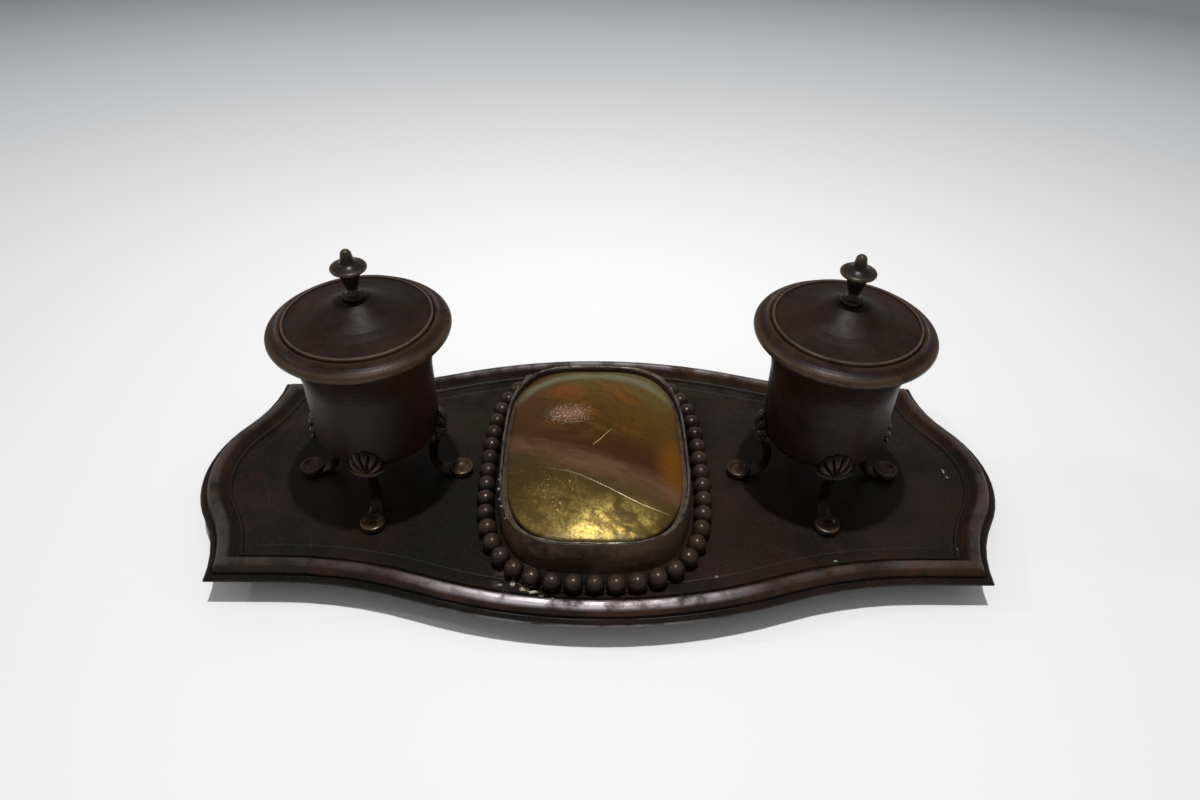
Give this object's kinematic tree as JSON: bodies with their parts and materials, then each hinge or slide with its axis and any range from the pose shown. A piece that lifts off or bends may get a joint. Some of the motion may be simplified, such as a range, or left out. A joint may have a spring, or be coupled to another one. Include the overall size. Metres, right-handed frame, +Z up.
{
  "type": "desk inkstand",
  "caption": "Shaped metal desk inkstand: moulded tray on bun feet, lidded ink pots on cabriole legs with glass liners, and a beaded bezel around a domed glass cabochon.",
  "frame": {"origin": "middle of the tray at table height, midway between the two pots", "axes": "+X along the stand to the right-hand pot, front towards -Y, +Z up"},
  "size_m": [0.342, 0.16, 0.1231],
  "materials": {
    "tray_bronze": "dark brown patina, satin, worn on the crest of the rim",
    "foot_bronze": "dark patina, satin",
    "bezel_bronze": "dark patina, satin",
    "iridescent_glass": "opaque pressed glass with an iridescent lustre",
    "bead_bronze": "dark patina, polished by wear on top",
    "pot_bronze": "dark patina, satin",
    "leg_bronze": "dark patina, satin",
    "fastener_brass": "dull brass",
    "clear_glass": "clear, slightly green",
    "lid_bronze": "dark patina, semi-gloss",
    "finial_brass": "rubbed bronze, bright on the edges"
  },
  "bodies": {
    "stand": {"tray": "tray_bronze", "foot_front_left": "foot_bronze", "foot_front_right": "foot_bronze", "foot_back_left": "foot_bronze", "foot_back_right": "foot_bronze", "bezel": "bezel_bronze", "cabochon": "iridescent_glass", "bead_ring": "bead_bronze", "pot_left": "pot_bronze", "pot_right": "pot_bronze", "leg_left_front": "leg_bronze", "leg_left_back": "leg_bronze", "leg_left_outer": "leg_bronze", "leg_left_inner": "leg_bronze", "leg_right_front": "leg_bronze", "leg_right_back": "leg_bronze", "leg_right_outer": "leg_bronze", "leg_right_inner": "leg_bronze", "leg_screws": "fastener_brass", "leg_rivets": "fastener_brass"},
    "liner_left_body": {"liner_left": "clear_glass"},
    "lid_left_body": {"lid_left": "lid_bronze", "finial_left": "finial_brass", "finial_nut_left": "fastener_brass"},
    "liner_right_body": {"liner_right": "clear_glass"},
    "lid_right_body": {"lid_right": "lid_bronze", "finial_right": "finial_brass", "finial_nut_right": "fastener_brass"}
  },
  "joints": [
    {"name": "liner_left_lift", "type": "slide", "parent": "stand", "child": "liner_left_body", "axis": [0, 0, 1], "range_m": [0, 0.06]},
    {"name": "lid_left_lift", "type": "slide", "parent": "liner_left_body", "child": "lid_left_body", "axis": [0, 0, 1], "range_m": [0, 0.045]},
    {"name": "liner_right_lift", "type": "slide", "parent": "stand", "child": "liner_right_body", "axis": [0, 0, 1], "range_m": [0, 0.06]},
    {"name": "lid_right_lift", "type": "slide", "parent": "liner_right_body", "child": "lid_right_body", "axis": [0, 0, 1], "range_m": [0, 0.045]}
  ]
}
